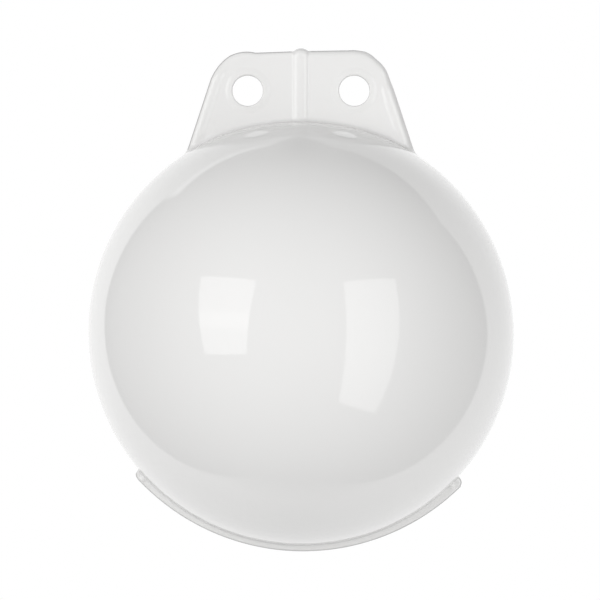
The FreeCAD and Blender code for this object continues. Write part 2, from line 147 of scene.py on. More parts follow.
# The hollow round at the lug's foot grows by this share towards the sides, and narrows again beyond
FOOT_WIDENING = 1.2
FOOT_WIDENS_X = (12.0, 38.0)
FOOT_NARROWS_X = (40.0, 48.0)

# The blow channel's middle and the half width of its flat back, and the sealed tip on top of it
CHANNEL_X = -0.2
CHANNEL_FLAT = 0.8
TIP_RISE = 1.2
TIP_HEIGHT = 6.0
TIP_SPREAD = 0.35
TIP_SWELL = 0.35
TIP_Z = LUG_TOP + TIP_RISE - TIP_HEIGHT / 2

# The ball left the mould a little out of round: less across one diagonal, flattened on the parting line at
# its crown, with fuller shoulders in front and behind, and flattened a little below. The higher a tightness,
# the closer its form keeps to the top or the bottom
SQUASH = 0.6
SQUASH_FACING = math.radians(45)
CROWN_FLAT = 1.35
CROWN_TIGHTNESS = 14.0
SHOULDER_FULL = 0.0005
UNDERSIDE_FLAT = 0.45
SPREAD_TIGHTNESS = 4.0

# The fin: an arc that stands deeper below the ball towards its ends. Its left end is cut off upright, at so
# many degrees to the arc, with a slanted top, and its right end is round. Each end has a small dome
FIN_CENTRE_X = 0.4
FIN_DEPTH_MIDDLE = 2.8
FIN_DEPTH_END = 3.9
FIN_LEFT_SPAN = math.radians(50.8)
FIN_LEFT_REACH = BALL_RADIUS * math.sin(FIN_LEFT_SPAN)
FIN_LEFT_ROUND = 4.5
FIN_LEFT_TOP = -65.9
FIN_LEFT_TOP_SLOPE = 1.3
FIN_END_BEND = 43.0
FIN_ROOT_DEPTH = 40.0
fin_low = BALL_RADIUS + FIN_DEPTH_MIDDLE
fin_far = BALL_RADIUS + FIN_DEPTH_END
FIN_CENTRE_Z = (fin_far ** 2 - fin_low ** 2) / (2 * (fin_low - fin_far * math.cos(FIN_LEFT_SPAN)))
FIN_ARC_RADIUS = fin_low + FIN_CENTRE_Z

FIN_CAP_AT = math.radians(46.05)
FIN_CAP_OUT = 1.1
FIN_CAP_ROUND = 2.5
cap_radius = BALL_RADIUS + FIN_CAP_OUT
FIN_CAP = (cap_radius * math.sin(FIN_CAP_AT), -cap_radius * math.cos(FIN_CAP_AT))

DOME_PROUD = 0.6
DOME_ROUND = 1.5
DOME_OUT = 0.95
DOME_PLACES_X = (-74.0, 70.6)
dome_radius = BALL_RADIUS + DOME_OUT
DOMES = [(x, -math.sqrt(dome_radius ** 2 - x ** 2)) for x in DOME_PLACES_X]
SOFT_EDGE = 0.3

# How wide a smooth minimum of two square faces is, for the round that it leaves
SQUARE_BLEND = 6 * (1 - math.cos(math.radians(45)))

# The rings that line the eyes
EYE_SEGMENTS = 96
RING_FLAT = 0.02
RING_PROUD = 0.03
RING_ROUND_STEPS = 6
CREASE_ANGLE = math.radians(62)

# The box of quads: its columns, its corners through the thickness, and its rows in five zones, which are
# the lug, its foot, the ball, the fin's foot and the fin
COLUMNS = 200
THROUGH = 24
ROWS = (66, 10, 100, 12, 6)

# Where the lug's rays start: on its middle plane, within its rim. They fan out from a point on its axis
CORE_FOOT = 47.8
CORE_TOP = 34.5
CORE_TOP_Z = 130.4
CORE_LIFT = 3.5
SHOULDER_X = 24.0
SHOULDER_DROP = 0.03
LUG_FAN_Z = 105.0

# Where the fin's rays start, with angles in degrees from straight down
FIN_CORE_MIDDLE = -0.75
FIN_CORE_SPAN = 46.75
FIN_CORE_FOOT = 100.9
FIN_CORE_EDGE = 101.5
FIN_CORE_FLARE = 0.6
FIN_FAN_Z = -35.0

# Where the rays land on the ball beside each web: past its ends, beside it, and how much more in its middle
LUG_REACH = (12.0, 7.0, 8.0)
FIN_REACH = (8.5, 5.5, 8.0)
CORNER_DEPTH = 0.985
CORNER_SET_BACK = 1.4

# How the rays spread over the ball, how the quads crowd together where the form is fine, and in how many
# steps, each half as long as the last, a corner walks to the skin
RAY_START = 97.0
RAY_LENGTH = 12.0
FRONT_TURN = math.radians(83.33)
BULGE = 1.3
CROWDING = 0.7
EDGE_CROWDING = 0.35
MIDDLE_CROWDING = 0.35
STEPS = 17

# The plastic, how dull it is at its rims, and the darker grey of the painted shade there
PLASTIC_COLOUR = (0.803, 0.8, 0.793)
PLASTIC_ROUGHNESS = 0.05
# Painted shade: at the rims and in the eyes the base colour darkens to this grey
PAINTED_SHADE_COLOUR = (0.50, 0.50, 0.495)
RIM_ROUGHNESS = 0.6

# Where the rims are dulled and carry painted shade: a width from the edge, the width over which that fades,
# and for some the strength.
# The ball and the blow channel's tip stay glossy. The band is a strip of painted shade inside the lug's
# right rim
OFF_BALL = 0.9
OFF_BALL_FADE = 0.8
HALVES_FADE = 10.0
TIP_HALF_WIDTH = 4.6
TIP_FADE = 1.0
RIM_SHADE_WIDTH = 0.5
FIN_RIM_SHADE_WIDTH = 0.4
RIM_FADE = 0.5
SHADE_BAND_WIDTH = 1.9
SHADE_BAND_FADE = 0.3
SHADE_BAND_START_X = 27.0
SHADE_BAND_START_FADE = 6.0
SHADE_BAND_SHARE = 0.16
EYE_SHADE_WIDTH = 0.3
EYE_SHADE_FADE = 0.4
EYE_SHADE_SHARE = 0.35

# The camera and the lamps, in metres
CAMERA_DISTANCE = 1.8
CAMERA_X = -0.00046
CAMERA_Z = -0.0981
SENSOR_WIDTH = 36.0
FRAME_WIDTH = 0.2814
LEFT_FACING = (-0.501, -0.696, 0.515)
LEFT_UP = (0.309, 0.412, 0.857)
RIGHT_FACING = (0.717, -0.684, 0.137)
RIGHT_UP = (-0.041, 0.155, 0.987)
WINDOW_SPREAD = math.radians(25)

# The room that the gloss shows, by direction from the buoy: x to the right, y away from the camera, z up.
# At the back and below is a white sweep. Each of its edges is given by how far it opens for each unit of y,
# and then of z or x: three runs on the left, one on the right, and two at the top
SWEEP_LEFT = ((1.06, 0.0), (1.12, -0.36), (0.46, 0.6))
SWEEP_RIGHT = (1.75, 0.17)
SWEEP_TOP = (1.5, 0.04)
SWEEP_TOP_MIDDLE = (1.0, 2.0)
SWEEP_EDGE_FADE = 0.05
SWEEP_FRONT = 0.09
SWEEP_FRONT_FADE = 0.3
SWEEP_BRIGHTNESS = 0.973

# On the sweep: a brighter spot, a bright hem along the top edge, and a fall of light up high. The hem rises
# and drops at two rates below the edge, and grows to the left. Above the edge is a haze, brightest in its
# middle
SPOT = ((0.15, 0.87, 0.47), 16.0)
SPOT_BRIGHTNESS = 0.3
HEM_RISE = 12.0
HEM_DROP = 5.0
HEM_TO_LEFT = 4.0
HEM_BRIGHTNESS = 0.8
FALL_SLOPE = 0.55
FALL_RATE = 2.0
FALL_LOSS = 0.25
HAZE_FADE = 2.0
HAZE_NARROWING = 2.2
HAZE_BRIGHTNESS = 0.6

# The dim glow of the room's sides: towards where it lies, how tight it is, and how bright
GLOWS = (
    ((0.0, -1.0, 0.0), 1.0, 0.205),
    ((0.0, 0.0, 1.0), 1.0, 0.016),
    ((0.0, 0.0, -1.0), 1.0, 0.148),
    ((-1.0, 0.0, 0.0), 1.0, 0.52),
    ((1.0, 0.0, 0.0), 1.0, 0.335),
    ((0.7, -0.7, 0.0), 3.0, 0.161),
    ((-0.7, 0.0, 0.7), 3.0, 0.227),
)

FLOOR_HALF = 6.0
FLOOR_Z = -1.3
FLOOR_TONE = 0.85
FLOOR_ROUGHNESS = 0.9
FLOOR_LIFT = 0.35


# Arithmetic that adds nodes to the tree being built

class Number:
    """A number that varies over the mesh. Arithmetic on it adds Math nodes."""

    def __init__(self, socket):
        self.socket = socket

    def __add__(self, other):
        return calc("ADD", self, other)

    def __radd__(self, other):
        return calc("ADD", other, self)

    def __sub__(self, other):
        return calc("SUBTRACT", self, other)

    def __rsub__(self, other):
        return calc("SUBTRACT", other, self)

    def __mul__(self, other):
        return calc("MULTIPLY", self, other)

    def __rmul__(self, other):
        return calc("MULTIPLY", other, self)

    def __truediv__(self, other):
        return calc("DIVIDE", self, other)

    def __rtruediv__(self, other):
        return calc("DIVIDE", other, self)

    def __neg__(self):
        return calc("MULTIPLY", self, -1.0)

    def __abs__(self):
        return calc("ABSOLUTE", self)


class Arrow:
    """Three numbers that belong together, as a place or a direction."""

    def __init__(self, x, y, z):
        self.x, self.y, self.z = x, y, z

    def __add__(self, other):
        return Arrow(self.x + other.x, self.y + other.y, self.z + other.z)

    def __sub__(self, other):
        return Arrow(self.x - other.x, self.y - other.y, self.z - other.z)

    def __mul__(self, factor):
        return Arrow(self.x * factor, self.y * factor, self.z * factor)

    def unit(self):
        return self * (1.0 / length(self.x, self.y, self.z))

    def socket(self):
        """The three numbers joined into one vector."""
        node = add("ShaderNodeCombineXYZ")
        for name in "xyz":
            feed(node.inputs[name.upper()], getattr(self, name))
        return node.outputs[0]


def add(kind, **settings):
    """A new node in the tree being built."""
    node = tree.nodes.new(kind)
    for name, value in settings.items():
        setattr(node, name, value)
    return node


def feed(socket, value):
    """Links a number, or another node's output, into a socket, or sets it to a plain value."""
    if isinstance(value, Number):
        value = value.socket
    if isinstance(value, bpy.types.NodeSocket):
        tree.links.new(value, socket)
    else:
        socket.default_value = value


def calc(operation, *values):
    """One Math node."""
    node = add("ShaderNodeMath", operation=operation)
    for socket, value in zip(node.inputs, values):
        feed(socket, value)
    return Number(node.outputs[0])


def root(value):
    return calc("SQRT", value)


def sine(value):
    return calc("SINE", value)


def cosine(value):
    return calc("COSINE", value)


def power(value, exponent):
    return calc("POWER", value, exponent)


def lesser(first, second):
    return calc("MINIMUM", first, second)


def greater(first, second):
    return calc("MAXIMUM", first, second)


def clamped(value):
    """A number kept between 0 and 1."""
    return lesser(greater(value, 0.0), 1.0)


def length(*values):
    """The length of an arrow with these sides."""
    total = values[0] * values[0]
    for value in values[1:]:
        total = total + value * value
    return root(total)


def between(first, second, share):
    """A straight blend from one number, or one place, to another."""
    return first + (second - first) * share


def joined(first, second, round_radius):
    """Two solids as one, with a hollow round of about that radius where they meet square."""
    return calc("SMOOTH_MIN", first, second, SQUARE_BLEND * round_radius)


def separated(position):
    """A vector's three numbers."""
    node = add("ShaderNodeSeparateXYZ")
    feed(node.inputs[0], position)
    return [Number(socket) for socket in node.outputs]


# The form, as distances in millimetres from its skin: below zero inside the plastic, above it outside

def rounded_slab(outline, y, half, round_radius):
    """A slab with rounded rims, from the distance to its outline."""
    past_outline = outline + round_radius
    past_face = abs(y) - (half - round_radius)
    corner = length(greater(past_outline, 0.0), greater(past_face, 0.0))
    return lesser(greater(past_outline, past_face), 0.0) + corner - round_radius


def eased_step(value, start, end):
    """Rises smoothly from 0 to 1 between two values."""
    share = clamped((value - start) * (1 / (end - start)))
    return 0.5 - cosine(share * math.pi) * 0.5


def half_plane(x, z, through, facing):
    """The distance past a straight edge that goes through a point and faces a direction, in degrees."""
    turn = math.radians(facing)
    offset = through[0] * math.cos(turn) + through[1] * math.sin(turn)
    return x * math.cos(turn) + z * math.sin(turn) - offset


def eased(first, second, round_radius, bend):
    """Two edges of an outline as one, with a round where they meet at an angle, in degrees."""
    blend = 6 * round_radius * (1 - math.cos(math.radians(bend) / 2))
    return calc("SMOOTH_MAX", first, second, blend)


def lug_outline(x, z):
    """The lug's outline: sides that lean in, a moulded left corner with a step, a right corner cut off
    straight.
    """
    side = half_plane(abs(x), z, (LUG_SIDE_X, EYE_Z), LUG_LEAN)
    top_left = half_plane(x, z, (0.0, LUG_TOP), 90 + LEFT_TOP_SLOPE)
    top_right = half_plane(x, z, (0.0, LUG_TOP), 90 + RIGHT_TOP_SLOPE)
    trim = half_plane(x, z, TRIM_START, TRIM_FACING)
    chord = half_plane(x, z, LEFT_STEP, CHORD_FACING)
    right_corner = eased(top_right, trim, TRIM_ROUND, 90 + RIGHT_TOP_SLOPE - TRIM_FACING)
    right_corner = eased(right_corner, side, TRIM_ROUND, TRIM_FACING - LUG_LEAN)
    straight = greater(greater(right_corner, top_left), chord)
    left_corner = length(x - LEFT_CORNER[0], z - LEFT_CORNER[1]) - LEFT_CORNER_ROUND
    flat = half_plane(x, z, LEFT_FLAT, LEFT_FLAT_FACING)
    return lesser(straight, calc("SMOOTH_MAX", left_corner, flat, LEFT_FLAT_BLEND))


def lug_web(x, y, z, size):
    """The lug's web, with its folds and the low rise round each eye, inside its arched rim."""
    outline = lug_outline(x, z) + EDGE_INSET
    inset = -outline
    width, arc = RIM_WIDTH, RIM_ARC
    for start, end, next_width, next_arc in RIM_STRETCHES:
        share = eased_step(x, start, end)
        width = between(width, next_width, share)
        arc = between(arc, next_arc, share)

    past_crest = inset - width
    left = (1.0 - eased_step(z, *LEFT_FOLD_FADE)) * (1.0 - eased_step(past_crest, 0.0, LEFT_FOLD_SLOPE))
    right = (1.0 - eased_step(z, *RIGHT_FOLD_FADE)) * (1.0 - eased_step(past_crest, 0.0, RIGHT_FOLD_SLOPE))
    left = left * size["Left fold proud"] * eased_step(-x, *FOLDS_RISE_X)
    right = right * size["Right fold proud"] * eased_step(x, *FOLDS_RISE_X)
    from_eye = length(abs(x) - EYE_X, z - EYE_Z) - size["Eye diameter"] / 2 - size["Collar reach"]
    rise = (1.0 - eased_step(from_eye, -COLLAR_EASE, COLLAR_EASE)) * size["Collar proud"]
    half = size["Web thickness"] / 2 + left + right + rise

    web = length(greater(width - inset, 0.0), greater(abs(y) + arc - half, 0.0)) - arc
    return calc("SMOOTH_MAX", web, outline, RIM_EDGE_BLEND)


def channel(x, y, z, size):
    """The blow channel, up to its tip's middle: on each face a flat back with round sides."""
    half = size["Channel width"] / 2 - CHANNEL_FLAT
    proud = size["Channel proud"]
    radius = (half * half + proud * proud) / (2 * proud)
    sink = radius - proud - size["Web thickness"] / 2
    aside = greater(abs(x - CHANNEL_X) - CHANNEL_FLAT, 0.0)
    return greater(length(aside, abs(y) + sink) - radius, z - TIP_Z)


def ellipsoid(x, y, z, half_x, half_y, half_z):
    """About the distance to an ellipsoid's skin."""
    near = length(x / half_x, y / half_y, z / half_z)
    steep = length(x / (half_x * half_x), y / (half_y * half_y), z / (half_z * half_z))
    return near * (near - 1.0) / steep


def squash(x, z):
    """How much nearer the skin lies where the ball is out of round."""
    along = x * math.cos(SQUASH_FACING) + z * math.sin(SQUASH_FACING)
    return along * along * (SQUASH / BALL_RADIUS ** 2)


def fin_outline(x, z):
    """The fin's outline: a long arc below the ball, cut off upright on the left, round on the right."""
    arc = length(x - FIN_CENTRE_X, z - FIN_CENTRE_Z) - FIN_ARC_RADIUS + squash(x, z)
    left = eased(arc, -x - FIN_LEFT_REACH, FIN_LEFT_ROUND, FIN_END_BEND)
    past_x, past_z = x - FIN_CAP[0], z - FIN_CAP[1]
    along = past_x * math.cos(FIN_CAP_AT) + past_z * math.sin(FIN_CAP_AT)
    out = past_x * math.sin(FIN_CAP_AT) - past_z * math.cos(FIN_CAP_AT)
    cap = length(greater(along, 0.0), out * calc("GREATER_THAN", along, 0.0)) - FIN_CAP_ROUND
    left_top = z - FIN_LEFT_TOP - (x + FIN_LEFT_REACH) * FIN_LEFT_TOP_SLOPE
    return greater(greater(greater(left, cap), z + FIN_ROOT_DEPTH), left_top)


def whole_lug(x, y, z, size):
    """The lug with its blow channel and sealed tip, down to its root inside the ball."""
    lug = joined(lug_web(x, y, z, size), channel(x, y, z, size), size["Channel crease round"])
    tip_x = size["Channel width"] / 2 + TIP_SPREAD
    tip_y = size["Web thickness"] / 2 + size["Channel proud"] + TIP_SWELL
    tip = ellipsoid(x, y, z - TIP_Z, tip_x, tip_y, TIP_HEIGHT / 2)
    return greater(joined(lug, tip, SOFT_EDGE), LUG_ROOT_Z - z)


def ball(x, y, z, size):
    """The ball, a little out of round."""
    up = clamped(z / BALL_RADIUS)
    down = clamped(z / -BALL_RADIUS)
    crown = power(up, CROWN_TIGHTNESS) * CROWN_FLAT
    shoulders = y * y * power(up, SPREAD_TIGHTNESS) * SHOULDER_FULL
    underside = power(down, SPREAD_TIGHTNESS) * UNDERSIDE_FLAT
    return length(x, y, z) - size["Ball radius"] + squash(x, z) + crown - shoulders + underside


def fin(x, y, z, size):
    """The pinched-off web under the ball, with a small dome in each end of each face."""
    half = size["Web thickness"] / 2
    web = rounded_slab(fin_outline(x, z), y, half, size["Fin rim round"])
    past_face = abs(y) - half
    for dome_x, dome_z in DOMES:
        dome = length(x - dome_x, past_face - (DOME_PROUD - DOME_ROUND), z - dome_z) - DOME_ROUND
        web = joined(web, dome, SOFT_EDGE)
    return web


def buoy_distance(x, y, z, size):
    """How far a place is outside the buoy's skin, before its eyes are punched."""
    wider = eased_step(abs(x), *FOOT_WIDENS_X) * (1.0 - eased_step(abs(x), *FOOT_NARROWS_X))
    foot = size["Foot round"] * (1.0 + wider * FOOT_WIDENING)
    with_lug = joined(ball(x, y, z, size), whole_lug(x, y, z, size), foot)
    return joined(with_lug, fin(x, y, z, size), size["Fin foot round"])


# The rays. Counted from the lug's top edge down, the rows of quads cross the lug, its foot, the ball, the
# fin's foot and the fin. In the columns across, -1 is the left side and 1 the right; across the thickness,
# -1 is the front and 1 the back, and the angle between them turns each ray from one face to the other.

def lug_core(across, height):
    """A place in the lug's middle plane, from its foot (height 0) to its top edge (height 1)."""
    foot_x = across * CORE_FOOT
    top_x = across * CORE_TOP
    foot_z = root(BALL_RADIUS ** 2 - foot_x * foot_x)
    shoulder = greater(abs(top_x) - SHOULDER_X, 0.0)
    top_z = CORE_TOP_Z - SHOULDER_DROP * shoulder * shoulder
    place = Arrow(between(foot_x, top_x, height), 0.0, between(foot_z + CORE_LIFT, top_z, height))
    return place, Arrow(foot_x, 0.0, foot_z)


def fin_core(across, depth):
    """A place in the fin's middle plane, from its foot (depth 0) to its outer edge (depth 1)."""
    angle = math.radians(FIN_CORE_MIDDLE) + across * math.radians(FIN_CORE_SPAN)
    edge = FIN_CORE_EDGE + FIN_CORE_FLARE * across * across
    radius = between(FIN_CORE_FOOT, edge, depth)
    facing = Arrow(sine(angle), 0.0, -cosine(angle))
    return facing * radius, facing * BALL_RADIUS


def outward(core, centre_z, turn):
    """The direction that leaves a web's middle plane: to the front, over its rim, or to the back."""
    along = Arrow(core.x, 0.0, core.z - centre_z).unit() * cosine(turn)
    return Arrow(along.x, sine(turn), along.z)


def foot_ray(across, core, foot, out, reach, share):
    """Start and direction of a ray where a web meets the ball: from the web (0) round to the ball (1)."""
    beyond_end, aside, more_aside = reach
    aside = aside + (1.0 - across * across) * more_aside
    landing = Arrow(foot.x + out.x * beyond_end, out.y * aside, foot.z + out.z * beyond_end).unit()
    corner = foot * CORNER_DEPTH - out * CORNER_SET_BACK
    start = core * ((1.0 - share) * (1.0 - share)) + corner * (2.0 * share * (1.0 - share))
    start = start + landing * (share * share * RAY_START)
    swing = share * (math.pi / 2)
    return start, (out * cosine(swing) + landing * sine(swing)).unit(), landing


def rays(across, through, row):
    """Where each ray starts inside the plastic, and its direction, from a place in the box of quads."""
    across = across - sine(across * (2 * math.pi)) * (MIDDLE_CROWDING / (2 * math.pi))
    turn = through * (EDGE_CROWDING + abs(through) * (1.0 - EDGE_CROWDING)) * (math.pi / 2)
    lug_rows, foot_rows, ball_rows, fin_foot_rows, fin_rows = ROWS

    core, foot = lug_core(across, 1.0 - clamped(row / lug_rows))
    out = outward(core, LUG_FAN_Z, turn)
    share = clamped((row - lug_rows) / foot_rows)
    top_start, top_way, landing = foot_ray(across, core, foot, out, LUG_REACH, share)

    from_bottom = sum(ROWS) - row
    core, foot = fin_core(across, 1.0 - clamped(from_bottom / fin_rows))
    out = outward(core, FIN_FAN_Z, turn)
    share = clamped((from_bottom - fin_rows) / fin_foot_rows)
    low_start, low_way, take_off = foot_ray(across, core, foot, out, FIN_REACH, share)

    ball_top = lug_rows + foot_rows
    share = clamped((row - ball_top) / ball_rows)
    share = share - sine(share * (2 * math.pi)) * (CROWDING / (2 * math.pi))
    middle = Arrow(sine(across * FRONT_TURN), through * cosine(across * FRONT_TURN), 0.0)
    rest = 1.0 - share
    way = landing * (rest * rest) + middle * (2 * BULGE * share * rest) + take_off * (share * share)
    way = way.unit()
    start = way * RAY_START

    on_ball = calc("GREATER_THAN", row, ball_top)
    on_fin = calc("GREATER_THAN", row, ball_top + ball_rows)
    start = between(between(top_start, start, on_ball), low_start, on_fin)
    way = between(between(top_way, way, on_ball), low_way, on_fin)
    return start, way


# The tree

def repeat_zone(steps):
    """A repeat zone that carries a mesh and one number, as its two ends."""
    start = add("GeometryNodeRepeatInput")
    end = add("GeometryNodeRepeatOutput")
    start.pair_with_output(end)
    end.repeat_items.clear()
    end.repeat_items.new("GEOMETRY", "Mesh")
    end.repeat_items.new("FLOAT", "Stride")
    feed(start.inputs["Iterations"], steps)
    return start, end


def skin(size):
    """The box of quads, with every corner walked along its ray to the buoy's skin."""
    rows = sum(ROWS)
    box = add("GeometryNodeMeshCube")
    feed(box.inputs["Size"], (2.0, 2.0, 2.0))
    for name, count in (("X", COLUMNS), ("Y", THROUGH), ("Z", rows)):
        feed(box.inputs[f"Vertices {name}"], count + 1)

    across, through, up = separated(add("GeometryNodeInputPosition").outputs[0])
    start, way = rays(across, through, (1.0 - up) * (rows / 2))
    keep = add("GeometryNodeStoreNamedAttribute", data_type="FLOAT_VECTOR")
    feed(keep.inputs["Geometry"], box.outputs["Mesh"])
    feed(keep.inputs["Name"], "ray")
    feed(keep.inputs["Value"], way.socket())
    begin = add("GeometryNodeSetPosition")
    feed(begin.inputs["Geometry"], keep.outputs[0])
    feed(begin.inputs["Position"], (start + way * (RAY_LENGTH / 2)).socket())

    loop, done = repeat_zone(STEPS)
    feed(loop.inputs["Mesh"], begin.outputs[0])
    feed(loop.inputs["Stride"], RAY_LENGTH / 4)
    x, y, z = separated(add("GeometryNodeInputPosition").outputs[0])
    inside = -calc("SIGN", buoy_distance(x, y, z, size))
    ray = add("GeometryNodeInputNamedAttribute", data_type="FLOAT_VECTOR")
    feed(ray.inputs["Name"], "ray")
    stride = Number(loop.outputs["Stride"])
    along = add("ShaderNodeVectorMath", operation="SCALE")
    feed(along.inputs["Vector"], ray.outputs["Attribute"])
    feed(along.inputs["Scale"], inside * stride)
    walk = add("GeometryNodeSetPosition")
    feed(walk.inputs["Geometry"], loop.outputs["Mesh"])
    feed(walk.inputs["Offset"], along.outputs["Vector"])
    feed(done.inputs["Mesh"], walk.outputs[0])
    feed(done.inputs["Stride"], stride * 0.5)
    forget = add("GeometryNodeRemoveAttribute")
    feed(forget.inputs["Geometry"], done.outputs["Mesh"])
    feed(forget.inputs["Name"], "ray")
    return forget.outputs[0]


def at_eyes(mesh):
    """A mesh that stands round the Z axis, laid along Y at the centre of both eyes."""
    laid = add("GeometryNodeTransform")
    feed(laid.inputs["Geometry"], mesh)
    feed(laid.inputs["Rotation"], (math.pi / 2, 0.0, 0.0))
    eyes = add("GeometryNodeMeshLine")
    feed(eyes.inputs["Count"], 2)
    feed(eyes.inputs["Start Location"], (-EYE_X, 0.0, EYE_Z))
    feed(eyes.inputs["Offset"], (2 * EYE_X, 0.0, 0.0))
    spread = add("GeometryNodeInstanceOnPoints")
    feed(spread.inputs["Points"], eyes.outputs[0])
    feed(spread.inputs["Instance"], laid.outputs[0])
    real = add("GeometryNodeRealizeInstances")
    feed(real.inputs[0], spread.outputs[0])
    return real.outputs[0]


def punches(size):
    """Two plugs that cut the eyes, each a little wider than its eye so that the collar lines the hole."""
    plug = add("GeometryNodeMeshCylinder")
    feed(plug.inputs["Vertices"], EYE_SEGMENTS)
    feed(plug.inputs["Radius"], size["Eye diameter"] / 2 + size["Eye rim round"])
    feed(plug.inputs["Depth"], size["Web thickness"] * 2)
    return at_eyes(plug.outputs["Mesh"])


def collars(size):
    """The ring that lines each eye: the eye's wall with both its rims rounded, a hair proud of the web."""
    path = add("GeometryNodeCurvePrimitiveCircle")
    feed(path.inputs["Resolution"], EYE_SEGMENTS)
    feed(path.inputs["Radius"], size["Eye diameter"] / 2 + size["Eye rim round"])
    section = add("GeometryNodeCurvePrimitiveQuadrilateral")
    feed(section.inputs["Width"], 2 * size["Eye rim round"] + RING_FLAT)
    feed(section.inputs["Height"], size["Web thickness"] + 2 * size["Collar proud"] + 2 * RING_PROUD)
    soft = add("GeometryNodeFilletCurve", mode="POLY")
    feed(soft.inputs["Curve"], section.outputs[0])
    feed(soft.inputs["Count"], RING_ROUND_STEPS)
    feed(soft.inputs["Radius"], size["Eye rim round"])
    ring = add("GeometryNodeCurveToMesh")
    feed(ring.inputs["Curve"], path.outputs[0])
    feed(ring.inputs["Profile Curve"], soft.outputs[0])
    return at_eyes(ring.outputs[0])


def combined(operation, first, second):
    """Two closed meshes as one: the first less the second, or both together."""
    node = add("GeometryNodeMeshBoolean", operation=operation, solver="MANIFOLD")
    if operation == "DIFFERENCE":
        feed(node.inputs["Mesh 1"], first)
    else:
        tree.links.new(first, node.inputs["Mesh 2"])
    tree.links.new(second, node.inputs["Mesh 2"])
    return node.outputs["Mesh"]


def creased(mesh):
    """Smooth shading, apart from the edges that turn sharply."""
    smooth = add("GeometryNodeSetShadeSmooth", domain="FACE")
    feed(smooth.inputs["Geometry"], mesh)
    feed(smooth.inputs["Shade Smooth"], True)
    angle = add("GeometryNodeInputMeshEdgeAngle")
    sharp = add("GeometryNodeSetShadeSmooth", domain="EDGE")
    feed(sharp.inputs["Geometry"], smooth.outputs[0])
    feed(sharp.inputs["Selection"], calc("GREATER_THAN", Number(angle.outputs[0]), CREASE_ANGLE))
    feed(sharp.inputs["Shade Smooth"], False)
    return sharp.outputs[0]


def buoy_tree(material):
    """The whole tree, from the box of quads to the finished buoy in the frame."""
    global tree
    tree = bpy.data.node_groups.new("buoy", "GeometryNodeTree")
    for name, value in SIZES.items():
        tree.interface.new_socket(name, in_out="INPUT", socket_type="NodeSocketFloat").default_value = value
    tree.interface.new_socket("Geometry", in_out="OUTPUT", socket_type="NodeSocketGeometry")
    given = add("NodeGroupInput")
    size = {name: Number(given.outputs[name]) for name in SIZES}

    punched = combined("DIFFERENCE", skin(size), punches(size))
    whole = combined("UNION", punched, collars(size))
    placed = add("GeometryNodeTransform")
    feed(placed.inputs["Geometry"], creased(whole))
    feed(placed.inputs["Scale"], (MM, MM, MM))
    feed(placed.inputs["Translation"], (0.0, 0.0, -EYE_Z * MM))
    real = add("GeometryNodeRealizeInstances")
    feed(real.inputs[0], placed.outputs[0])
    finish = add("GeometryNodeSetMaterial")
    feed(finish.inputs["Geometry"], real.outputs[0])
    feed(finish.inputs["Material"], material)
    feed(add("NodeGroupOutput").inputs[0], finish.outputs[0])
    return tree


def grown(name, group, sizes):
    """A plain mesh object made by a tree, with the tree's inputs set to the sizes."""
    seed = bpy.data.objects.new(f"{name}_seed", bpy.data.meshes.new(f"{name}_seed"))
    bpy.context.scene.collection.objects.link(seed)
    modifier = seed.modifiers.new("tree", "NODES")
    modifier.node_group = group
    for item in group.interface.items_tree:
        if item.name in sizes:
            modifier[item.identifier] = sizes[item.name]
    evaluated = seed.evaluated_get(bpy.context.evaluated_depsgraph_get())
    mesh = bpy.data.meshes.new_from_object(evaluated)
    mesh.name = name
    bpy.data.objects.remove(seed)
    piece = bpy.data.objects.new(name, mesh)
    bpy.context.scene.collection.objects.link(piece)
    return piece


# The plastic

def soft_step(value, width):
    """Rises from 0 to 1 over a width, centred on 0."""
    return clamped(value / width + 0.5)


def dull_rims_with_painted_shade():
    """How dull the skin is and how much painted shade darkens it: at the rims of the lug and the fin, and in
    the eyes.
    """
    x, y, z = separated(add("ShaderNodeTexCoord").outputs["Object"])
    x = x * (1 / MM)
    y = y * (1 / MM)
    z = z * (1 / MM) + EYE_Z
    off_ball = soft_step(length(x, y, z) - BALL_RADIUS - OFF_BALL, OFF_BALL_FADE)
    above = soft_step(z, HALVES_FADE) * off_ball * soft_step(abs(x) - TIP_HALF_WIDTH, TIP_FADE)
    below = soft_step(-z, HALVES_FADE) * off_ball
    past_rim = lug_outline(x, z) + EDGE_INSET
    # Painted shade along the lug's rim, darker than the plastic's own colour
    rim = soft_step(past_rim + RIM_SHADE_WIDTH, RIM_FADE) * above
    on_right = soft_step(x - SHADE_BAND_START_X, SHADE_BAND_START_FADE)
    # A wider strip of painted shade inside the lug's right rim
    shade_band = soft_step(past_rim + SHADE_BAND_WIDTH, SHADE_BAND_FADE) * on_right * above * SHADE_BAND_SHARE
    # Painted shade along the fin's rim
    low_rim = soft_step(fin_outline(x, z) + FIN_RIM_SHADE_WIDTH, RIM_FADE) * below
    from_eye = length(abs(x) - EYE_X, z - EYE_Z) - SIZES["Eye diameter"] / 2
    # Painted shade in a thin ring round each eye
    eyes = soft_step(EYE_SHADE_WIDTH - from_eye, EYE_SHADE_FADE) * EYE_SHADE_SHARE
    return greater(greater(rim, shade_band), greater(low_rim, eyes))


def white_plastic():
    """Glossy white plastic, dull at its rims, with painted shade darkening it there and in the eyes."""
    global tree
    material = bpy.data.materials.new("white_plastic")
    material.use_nodes = True
    tree = material.node_tree
    shader = tree.nodes["Principled BSDF"]
    share = dull_rims_with_painted_shade()
    feed(shader.inputs["Roughness"], between(PLASTIC_ROUGHNESS, RIM_ROUGHNESS, share))
    # The base colour blends to the darker grey of the painted shade by the same mask
    shade = add("ShaderNodeCombineColor")
    for socket, plain, cut in zip(shade.inputs, PLASTIC_COLOUR, PAINTED_SHADE_COLOUR):
        feed(socket, between(plain, cut, share))
    feed(shader.inputs["Base Color"], shade.outputs[0])
    return material


